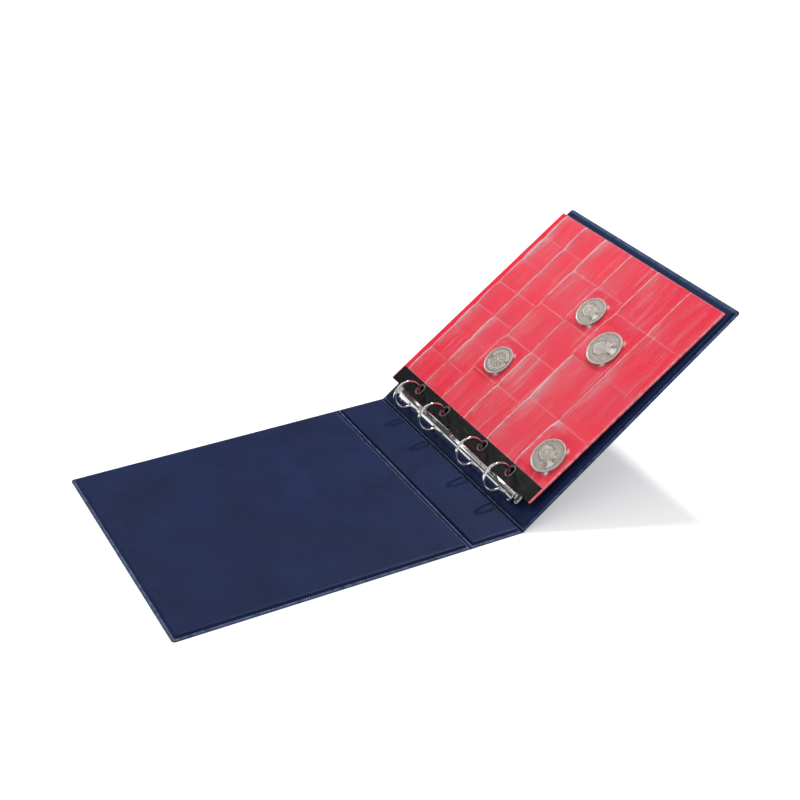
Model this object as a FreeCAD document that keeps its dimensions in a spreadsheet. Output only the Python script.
"""Four-ring coin album lying open: flat front cover and spine, raised back cover that carries the
ring mechanism and two coin leaves.  Millimetres.  X runs across the spine towards the back cover,
Y along the spine towards the top edge of the album, Z up.  The origin is the centre of the spine's
outer face, which rests on the table."""

import FreeCAD, Part
import Sketcher
import os
import re

App = FreeCAD
V = App.Vector
doc = App.newDocument("coin_album")

SIZES = {
    # covers
    "album_height": 245.0,
    "cover_width": 250.0,
    "spine_width": 48.0,
    "open_angle": 37.0,
    "skin_thick": 0.5,
    "board_thick": 2.3,
    "weld_rim": 4.0,
    "crease_rim": 3.5,
    "crease_gap": 0.7,
    "crease_radius": 0.45,
    "corner_radius": 3.0,
    "foil_thick": 0.1,
    "foil_radius": 7.0,
    "foil_band": 1.2,
    "foil_dot": 2.6,
    "foil_pitch": 24.6,
    "cut_past": 1.0,
    # ring mechanism
    "mech_shift": 3.5,
    "rail_place": 17.5,
    "rail_length": 194.0,
    "rail_half": 8.0,
    "rail_rise": 5.6,
    "rail_lip": 0.4,
    "rail_thick": 0.8,
    "ring_radius": 12.7,
    "wire_radius": 1.3,
    "ring_rise": 15.0,
    "ring_foot": 2.8,
    "ring_gap": 0.06,
    "peg_radius": 0.8,
    "peg_play": 0.1,
    "peg_length": 2.0,
    "notch_width": 3.4,
    "notch_top": 5.2,
    "pivot_place": 6.2,
    "pivot_rise": 1.3,
    "plate_width": 5.8,
    "plate_thick": 0.7,
    "plate_length": 180.0,
    "plate_droop": 6.0,
    "plate_lip": 0.1,
    "rivet_place": 55.0,
    "rivet_radius": 1.5,
    "rivet_head": 2.8,
    "rivet_flange": 4.0,
    "post_room": 2.2,
    "pin_place": 93.0,
    "pin_rise": 2.6,
    "pin_radius": 0.9,
    "pin_reach": 6.7,
    "pin_play": 0.05,
    "hub_radius": 1.7,
    "lever_half": 3.4,
    "tab_half": 5.5,
    # leaves
    "leaf_place": 2.5,
    "leaf_rise": 8.0,
    "leaf_slope": 1.66,
    "leaf_pitch": 1.2,
    "leaf_width": 221.0,
    "leaf_height": 234.0,
    "paper_thick": 0.25,
    "paper_over": 1.5,
    "film_thick": 0.15,
    "film_rise": 0.35,
    "strip_width": 16.0,
    "strip_thick": 0.25,
    "hole_near": 4.7,
    "hole_far": 13.5,
    "hole_radius": 3.0,
    "top_margin": 4.0,
    "mouth": 2.5,
    "coin_thick": 2.0,
    "coin_play": 0.6,
    "coin_lift": 0.01,
    "film_room": 0.15,
    "coin_rim": 1.5,
    "coin_relief": 0.15,
}

FOIL_COUNT = 6
RING_PLACES = (-77.5, -32.5, 32.5, 77.5)
ROW_HEIGHTS = (31.0, 31.0, 39.0, 39.0, 45.0, 45.0)
# coin number: row, distance from the leaf's inner edge, distance from its top edge, radius
COINS = {
    1: (3, 74.6, 86.2, 14.5),
    2: (4, 158.4, 124.5, 14.5),
    3: (5, 139.0, 168.75, 16.75),
    4: (6, 39.2, 213.7, 16.25),
}

sheet = doc.addObject("Spreadsheet::Sheet", "Sizes")
for row, (alias, value) in enumerate(SIZES.items(), start=1):
    sheet.set(f"A{row}", alias)
    sheet.set(f"B{row}", str(value))
    sheet.setAlias(f"B{row}", alias)
doc.recompute()

parts = []


def bound(text):
    """An expression in which every sheet alias is written with the sheet's name."""
    return re.sub(r"[a-z_]+", lambda w: f"Sizes.{w[0]}" if w[0] in SIZES else w[0], str(text))


def bind(obj, **sizes):
    for name, text in sizes.items():
        obj.setExpression(name.replace("__", "."), bound(text))


def put(obj, x="0", y="0", z="0"):
    bind(obj, Placement__Base__x=x, Placement__Base__y=y, Placement__Base__z=z)


def put_on_cover(obj, along="0", rise="0", y="0", tilt="0"):
    """Place obj in the raised cover's frame: along from the crease, rise above the crease axis."""
    obj.Placement = App.Placement(V(), App.Rotation(V(0, -1, 0), SIZES["open_angle"]))
    turn = "open_angle * 1 deg"
    x = f"spine_width / 2 + ({along}) * cos({turn}) - ({rise}) * sin({turn})"
    z = f"{CREASE_AXIS} + ({along}) * sin({turn}) + ({rise}) * cos({turn})"
    put(obj, x, y, z)
    bind(obj, Placement__Rotation__Angle=f"(open_angle + {tilt}) * 1 deg")


def new_body(name):
    body = doc.addObject("PartDesign::Body", name)
    body.Label = name
    parts.append(body)
    return body


def add_box(body, low, size, cut=False):
    kind = "SubtractiveBox" if cut else "AdditiveBox"
    box = body.newObject(f"PartDesign::{kind}", "Block")
    bind(box, Length=size[0], Width=size[1], Height=size[2])
    put(box, *low)
    return box


def add_cylinder(body, base, radius, height, cut=False, along="z"):
    kind = "SubtractiveCylinder" if cut else "AdditiveCylinder"
    rod = body.newObject(f"PartDesign::{kind}", "Round")
    turns = {"z": App.Rotation(), "y": App.Rotation(V(1, 0, 0), -90), "x": App.Rotation(V(0, 1, 0), 90)}
    rod.Placement = App.Placement(V(), turns[along])
    bind(rod, Radius=radius, Height=height)
    put(rod, *base)
    return rod


def origin_item(body, role):
    return next(item for item in body.Origin.OriginFeatures if item.Role == role)


def sketch_on(body, name, plane):
    sketch = body.newObject("Sketcher::SketchObject", name)
    sketch.AttachmentSupport = [(origin_item(body, plane), "")]
    sketch.MapMode = "FlatFace"
    return sketch


def round_corners(body, feature, at_x):
    """Round the upright edges of feature that stand at x = at_x."""
    doc.recompute()
    names = []
    for number, edge in enumerate(feature.Shape.Edges, start=1):
        low, high = edge.BoundBox.ZMin, edge.BoundBox.ZMax
        flat = edge.BoundBox.XLength + edge.BoundBox.YLength
        if high - low > 0.1 and flat < 0.01 and abs(edge.BoundBox.XMin - at_x) < 0.01:
            names.append(f"Edge{number}")
    fillet = body.newObject("PartDesign::Fillet", "Corners")
    fillet.Base = (feature, names)
    bind(fillet, Radius="corner_radius")
    body.Tip = fillet
    return fillet


# ---------------------------------------------------------------- covers and spine

CREASE_AXIS = "skin_thick"
PANEL_THICK = "(2 * skin_thick + board_thick)"
LINING_TOP = f"({PANEL_THICK} - {CREASE_AXIS})"  # above the crease axis


def panel_layers(name, near_rim, far_rim, length, rounded):
    """Outer skin, board and inner lining of one panel; x runs from its crease to its far edge.
    The lining is a tray turned over the board and welded to the skin along a thin rim."""
    skin = new_body(f"{name}_outer_skin")
    span = f"({length} - crease_gap - {far_rim[1]})"
    base = add_box(skin, ("crease_gap", "-album_height / 2", "0"), (span, "album_height", "skin_thick"))
    if rounded:
        round_corners(skin, base, SIZES["cover_width"])

    board = new_body(f"{name}_board")
    board_low = (near_rim, "weld_rim - album_height / 2", "skin_thick")
    board_size = (f"{length} - {near_rim} - {far_rim[0]}", "album_height - 2 * weld_rim", "board_thick")
    add_box(board, board_low, board_size)

    lining = new_body(f"{name}_lining")
    flange = add_box(
        lining, ("crease_gap", "-album_height / 2", "skin_thick"), (span, "album_height", "skin_thick")
    )
    if rounded:
        round_corners(lining, flange, SIZES["cover_width"])
    add_box(
        lining,
        (f"{near_rim} - skin_thick", "weld_rim - skin_thick - album_height / 2", "skin_thick"),
        (
            f"{board_size[0]} + 2 * skin_thick",
            f"{board_size[1]} + 2 * skin_thick",
            "board_thick + skin_thick",
        ),
    )
    add_box(lining, board_low, board_size, cut=True)
    return skin, board, lining


cover_far_rim = ("weld_rim", "0")
spine_far_rim = ("crease_rim", "crease_gap")

front = panel_layers("front_cover", "crease_rim", cover_far_rim, "cover_width", True)
for layer in front:
    layer.Placement = App.Placement(V(), App.Rotation(V(0, 0, 1), 180))
    put(layer, "-spine_width / 2")

spine = panel_layers("spine", "crease_rim", spine_far_rim, "spine_width", False)
for layer in spine:
    put(layer, "-spine_width / 2")

back = panel_layers("back_cover", "crease_rim", cover_far_rim, "cover_width", True)
for layer in back:
    for side in (-1, 1):
        radius = "rivet_flange" if layer is back[0] else "rivet_radius"
        place = ("rail_place", f"mech_shift + {side} * rivet_place", "0")
        add_cylinder(layer, place, radius, PANEL_THICK, cut=True)
    put_on_cover(layer, rise=f"-{CREASE_AXIS}")

for name, x in (("front_crease_weld", "-spine_width / 2"), ("back_crease_weld", "spine_width / 2")):
    weld = new_body(name)
    add_cylinder(weld, ("0", "-album_height / 2", "0"), "crease_radius", "album_height", along="y")
    put(weld, x, "0", CREASE_AXIS)

# gold-foil roundels stamped into the spine's outer face, each a band round a dot
foil_solids = []
for number in range(FOIL_COUNT):
    y = f"({number} - {(FOIL_COUNT - 1) / 2}) * foil_pitch"
    centre = ("spine_width / 2", y, "0")
    add_cylinder(spine[0], centre, "foil_radius", "foil_thick", cut=True)
    for inner, outer in (("foil_radius - foil_band", "foil_radius"), ("0", "foil_dot")):
        disc = doc.addObject("Part::Cylinder", "FoilDisc")
        bind(disc, Radius=outer, Height="foil_thick")
        put(disc, "0", y, "0")
        if inner == "0":
            foil_solids.append(disc)
            continue
        bore = doc.addObject("Part::Cylinder", "FoilBore")
        bind(bore, Radius=inner, Height="foil_thick")
        put(bore, "0", y, "0")
        band = doc.addObject("Part::Cut", "FoilBand")
        band.Base = disc
        band.Tool = bore
        foil_solids.append(band)
foil = doc.addObject("Part::Compound", "spine_foil_ornament")
foil.Label = "spine_foil_ornament"
foil.Links = foil_solids
parts.append(foil)

# ---------------------------------------------------------------- ring mechanism

SHELL_RADIUS = "((rail_half ^ 2 + rail_rise ^ 2) / (2 * rail_rise))"
SHELL_CENTRE = f"(rail_lip + rail_rise - {SHELL_RADIUS})"
NOTCH_INNER = "rail_half / 3"

rail = new_body("ring_rail")
add_cylinder(rail, ("0", "-rail_length / 2", SHELL_CENTRE), SHELL_RADIUS, "rail_length", along="y")
add_cylinder(
    rail,
    ("0", "-rail_length / 2", SHELL_CENTRE),
    f"{SHELL_RADIUS} - rail_thick",
    "rail_length",
    cut=True,
    along="y",
)
below = f"2 * {SHELL_RADIUS}"
add_box(
    rail,
    (f"-{SHELL_RADIUS}", "-rail_length / 2", f"rail_lip - {below}"),
    (below, "rail_length", below),
    cut=True,
)
for ring_y in RING_PLACES:
    for side in (-1, 1):
        low_x = "-rail_half - cut_past" if side < 0 else NOTCH_INNER
        low = (low_x, f"{ring_y} - notch_width / 2", "0")
        notch = (f"rail_half - {NOTCH_INNER} + cut_past", "notch_width", "notch_top")
        add_box(rail, low, notch, cut=True)
for side in (-1, 1):
    add_cylinder(rail, ("0", f"{side} * rivet_place", "0"), "rivet_radius", "rail_half", cut=True)
    pin_low = ("-rail_half", f"{side} * pin_place", "pin_rise")
    add_cylinder(rail, pin_low, "pin_radius", "2 * rail_half", cut=True, along="x")
put_on_cover(rail, "rail_place", LINING_TOP, "mech_shift")


def grouped_rounds(name, rounds):
    """One node of separate round solids; each entry fuses cylinders of one piece."""
    solids = []
    for piece in rounds:
        cylinders = []
        for base, radius, height, along in piece:
            rod = doc.addObject("Part::Cylinder", "Rod")
            if along == "x":
                rod.Placement = App.Placement(V(), App.Rotation(V(0, 1, 0), 90))
            bind(rod, Radius=radius, Height=height)
            put(rod, *base)
            cylinders.append(rod)
        if len(cylinders) == 1:
            solids += cylinders
            continue
        fused = doc.addObject("Part::MultiFuse", "Fused")
        fused.Shapes = cylinders
        fused.Refine = True
        solids.append(fused)
    group = doc.addObject("Part::Compound", name)
    group.Label = name
    group.Links = solids
    parts.append(group)
    return group


crest = "rail_lip + rail_rise"
rivets = grouped_rounds(
    "mechanism_rivets",
    [
        [
            (("0", y, f"-{PANEL_THICK}"), "rivet_flange", "skin_thick", "z"),
            (("0", y, f"-{PANEL_THICK}"), "rivet_radius", f"{PANEL_THICK} + {crest}", "z"),
            (("0", y, crest), "rivet_head", "skin_thick", "z"),
        ]
        for y in ("-rivet_place", "rivet_place")
    ],
)
put_on_cover(rivets, "rail_place", LINING_TOP, "mech_shift")

pins = grouped_rounds(
    "lever_pins",
    [
        [(("-pin_reach", y, "pin_rise"), "pin_radius", "2 * pin_reach", "x")]
        for y in ("-pin_place", "pin_place")
    ],
)
put_on_cover(pins, "rail_place", LINING_TOP, "mech_shift")


def toggle_plate(name, side):
    """Thin plate hinged on the rail's edge; its own frame sits on that edge."""
    plate = new_body(name)
    low_x = "-plate_lip" if side < 0 else "-plate_width"
    add_box(
        plate,
        (low_x, "-plate_length / 2", "-plate_thick / 2"),
        ("plate_width + plate_lip", "plate_length", "plate_thick"),
    )
    centre_x = f"{-side} * pivot_place"
    for end in (-1, 1):
        place = (centre_x, f"{end} * rivet_place", "-plate_thick")
        add_cylinder(plate, place, "post_room", "2 * plate_thick", cut=True)
    for ring_y in RING_PLACES:
        place = (f"{-side} * (pivot_place - ring_foot)", f"{ring_y}", "-plate_thick")
        add_cylinder(plate, place, "peg_radius + peg_play", "2 * plate_thick", cut=True)
    along = f"rail_place + {side} * pivot_place"
    put_on_cover(plate, along, f"{LINING_TOP} + pivot_rise", "mech_shift", f"{side} * plate_droop")
    return plate


def half_ring(name, side, ring_y):
    """Half a ring: wire turned round the ring's centre line, ending in a peg that is riveted
    into the toggle plate."""
    ring = new_body(name)
    profile = sketch_on(ring, "Wire", "YZ_Plane")
    profile.addGeometry(Part.Circle(V(ring_y, SIZES["ring_radius"], 0), V(0, 0, 1), 1.0), False)
    profile.addConstraint(Sketcher.Constraint("Radius", 0, SIZES["wire_radius"]))
    profile.setExpression("Constraints[0]", bound("wire_radius"))
    profile.addConstraint(Sketcher.Constraint("DistanceY", -1, 1, 0, 3, SIZES["ring_radius"]))
    profile.setExpression("Constraints[1]", bound("ring_radius"))
    profile.addConstraint(Sketcher.Constraint("DistanceX", -1, 1, 0, 3, ring_y))
    turned = ring.newObject("PartDesign::Revolution", "Turned")
    turned.Profile = profile
    turned.ReferenceAxis = (profile, ["H_Axis"])
    turned.Reversed = side < 0
    bind(turned, Angle="180 deg - asin(ring_foot / ring_radius)")
    low_x = "-ring_gap" if side < 0 else "0"
    add_box(
        ring,
        (low_x, f"{ring_y} - 2 * wire_radius", "ring_radius - 2 * wire_radius"),
        ("ring_gap", "4 * wire_radius", "4 * wire_radius"),
        cut=True,
    )
    # the peg stands square to the plate
    foot_drop = "-ring_radius * cos(asin(ring_foot / ring_radius))"
    peg_low = (f"{side} * ring_foot", f"{ring_y}", f"{foot_drop} - wire_radius - plate_thick")
    add_cylinder(ring, peg_low, "peg_radius", "peg_length")
    put_on_cover(ring, "rail_place", f"{LINING_TOP} + ring_rise", "mech_shift")


for side, side_name in ((-1, "left"), (1, "right")):
    toggle_plate(f"toggle_plate_{side_name}", side)
    for number, ring_y in enumerate(RING_PLACES, start=1):
        half_ring(f"half_ring_{side_name}_{number}", side, ring_y)

# side views of the release lever: (distance from the rail's middle, height above the cover)
TAB_VIEW = ((99.5, 1.9), (106.5, 4.3), (106.1, 5.8), (99.2, 3.4))
ARM_VIEW = ((92.6, 1.2), *TAB_VIEW, (92.6, 4.1))

for end, end_name in ((-1, "bottom"), (1, "top")):
    lever = new_body(f"release_lever_{end_name}")
    hub_low = ("-lever_half", f"{end} * pin_place", "pin_rise")
    add_cylinder(lever, hub_low, "hub_radius", "2 * lever_half", along="x")
    for outline, width in ((ARM_VIEW, "2 * lever_half"), (TAB_VIEW, "2 * tab_half")):
        side_view = sketch_on(lever, "SideView", "YZ_Plane")
        points = [V(end * y, z, 0) for y, z in outline]
        for here, there in zip(points, points[1:] + points[:1]):
            side_view.addGeometry(Part.LineSegment(here, there), False)
        pad = lever.newObject("PartDesign::Pad", "Arm")
        pad.Profile = side_view
        pad.Midplane = True
        bind(pad, Length=width)
    bore_low = ("-rail_half", f"{end} * pin_place", "pin_rise")
    add_cylinder(lever, bore_low, "pin_radius + pin_play", "2 * rail_half", cut=True, along="x")
    put_on_cover(lever, "rail_place", LINING_TOP, "mech_shift")

# ---------------------------------------------------------------- leaves

FILM_TOP = "(film_rise + film_thick)"  # of the leaf's back film
STRIP_TOP = "(film_rise + 2 * film_thick)"  # of the flat pocket film
COIN_LOW = f"({STRIP_TOP} + coin_lift)"
BULGE_TOP = f"({COIN_LOW} + coin_thick + film_room)"  # inside of the film over a coin


def punch(body, low_z, depth):
    """Four oblong holes for the rings, from hole_near to hole_far."""
    for ring_y in RING_PLACES:
        near, far = "hole_near + hole_radius", "hole_far - hole_radius"
        low = (near, f"{ring_y} - hole_radius", low_z)
        add_box(body, low, (f"{far} - ({near})", "2 * hole_radius", depth), cut=True)
        for x in (near, far):
            add_cylinder(body, (x, f"{ring_y}", low_z), "hole_radius", depth, cut=True)


def put_leaf(obj, number, y="0", along="0", up="0"):
    drop = f"({number} - 1) * leaf_pitch"
    lean = "leaf_slope * 1 deg"
    step = f"(({up}) - {drop})"
    put_on_cover(
        obj,
        f"rail_place + leaf_place + ({along}) * cos({lean}) + {step} * sin({lean})",
        f"{LINING_TOP} + leaf_rise - ({along}) * sin({lean}) + {step} * cos({lean})",
        f"mech_shift + ({y})",
        "-leaf_slope",
    )


def pocket_row(leaf, row, top):
    """Front film of one row of pockets, open along its top edge, raised over each coin in it."""
    height = ROW_HEIGHTS[row - 1]
    strip = new_body(f"leaf_{leaf}_pocket_row_{row}")
    bottom_y = f"leaf_height / 2 - {top + height}"
    run = f"{height} - mouth"
    low = ("strip_width", bottom_y, FILM_TOP)
    add_box(strip, low, ("leaf_width - strip_width", run, "film_thick"))
    held = [coin for coin in COINS.values() if leaf == 1 and coin[0] == row]
    for _, x, down, radius in held:
        y = f"(leaf_height / 2 - {down})"
        mouth_y = f"(leaf_height / 2 - {top} - mouth)"
        for margin, cover, cut in (("film_thick", "film_thick", False), ("0", "0", True)):
            reach = f"({radius} + coin_play + {margin})"
            tall = f"{BULGE_TOP} + {cover} - {FILM_TOP}"
            add_cylinder(strip, (f"{x}", y, FILM_TOP), reach, tall, cut=cut)
            low = (f"{x} - {reach}", y, FILM_TOP)
            add_box(strip, low, (f"2 * {reach}", f"{mouth_y} - {y}", tall), cut=cut)
    put_leaf(strip, leaf)


for leaf in (1, 2):
    paper = new_body(f"leaf_{leaf}_red_interleaf")
    paper_low = ("0", "-leaf_height / 2 - paper_over", "0")
    add_box(paper, paper_low, ("leaf_width", "leaf_height + 2 * paper_over", "paper_thick"))
    punch(paper, "-paper_thick", "3 * paper_thick")
    put_leaf(paper, leaf)

    film = new_body(f"leaf_{leaf}_back_film")
    film_low = ("0", "-leaf_height / 2", "film_rise")
    add_box(film, film_low, ("leaf_width", "leaf_height", "film_thick"))
    punch(film, "film_rise - film_thick", "3 * film_thick")
    put_leaf(film, leaf)

    binding = new_body(f"leaf_{leaf}_binding_strip")
    binding_low = ("0", "-leaf_height / 2", FILM_TOP)
    add_box(binding, binding_low, ("strip_width", "leaf_height", "strip_thick"))
    punch(binding, FILM_TOP + " - strip_thick", "3 * strip_thick")
    put_leaf(binding, leaf)

    top = SIZES["top_margin"]
    for row, height in enumerate(ROW_HEIGHTS, start=1):
        pocket_row(leaf, row, top)
        top += height

for number, (row, x, down, radius) in COINS.items():
    coin = new_body(f"coin_{number}")
    add_cylinder(coin, ("0", "0", "0"), radius, "coin_thick")
    face = f"{radius} - coin_rim"
    add_cylinder(coin, ("0", "0", "0"), face, "coin_relief", cut=True)
    add_cylinder(coin, ("0", "0", "coin_thick - coin_relief"), face, "coin_relief", cut=True)
    put_leaf(coin, 1, f"leaf_height / 2 - {down}", f"{x}", COIN_LOW)

# ---------------------------------------------------------------- check and write

doc.recompute()
failed = [o.Name for o in doc.Objects if "Invalid" in o.State or "Error" in o.State]
for part in parts:
    shape = part.Shape
    if shape.isNull() or not shape.isValid() or not shape.Solids:
        failed.append(part.Label)
if failed:
    raise RuntimeError("failed objects: " + ", ".join(failed))

os.makedirs("parts", exist_ok=True)
for part in parts:
    part.Shape.exportStep(os.path.join("parts", part.Label + ".step"))
print(len(parts), "sub-parts written")
